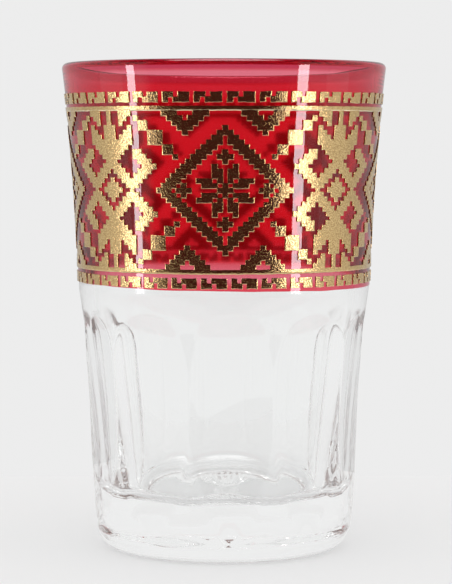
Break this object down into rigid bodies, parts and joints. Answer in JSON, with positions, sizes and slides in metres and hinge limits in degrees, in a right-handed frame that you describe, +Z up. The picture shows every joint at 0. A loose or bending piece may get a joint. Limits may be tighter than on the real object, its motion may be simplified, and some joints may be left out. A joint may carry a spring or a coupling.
{
  "type": "moroccan tea glass",
  "caption": "Flared pressed tea glass with a thick foot, a fluted lower wall and a red band of stepped gold ornament, for serving mint tea.",
  "frame": {"origin": "centre of the foot, on the surface that the glass stands on", "axes": "+Z up along the glass's axis; the middle of one gold medallion faces -Y"},
  "size_m": [0.0622, 0.0622, 0.0932],
  "materials": {
    "clear_glass": "clear, fire-polished",
    "red_stain": "transparent ruby red, fired on",
    "gold_print": "bright gold, fired on"
  },
  "bodies": {
    "root": {"glass_body": "clear_glass", "red_band": "red_stain", "upper_rail": "gold_print", "lower_rail": "gold_print", "diamond_frames": "gold_print", "stars": "gold_print", "small_crosses": "gold_print", "stair_chains": "gold_print", "upper_pendants": "gold_print", "lower_pendants": "gold_print", "totems": "gold_print", "totem_hearts": "gold_print", "rail_steps": "gold_print", "upper_key_border": "gold_print", "lower_key_border": "gold_print"}
  },
  "joints": []
}
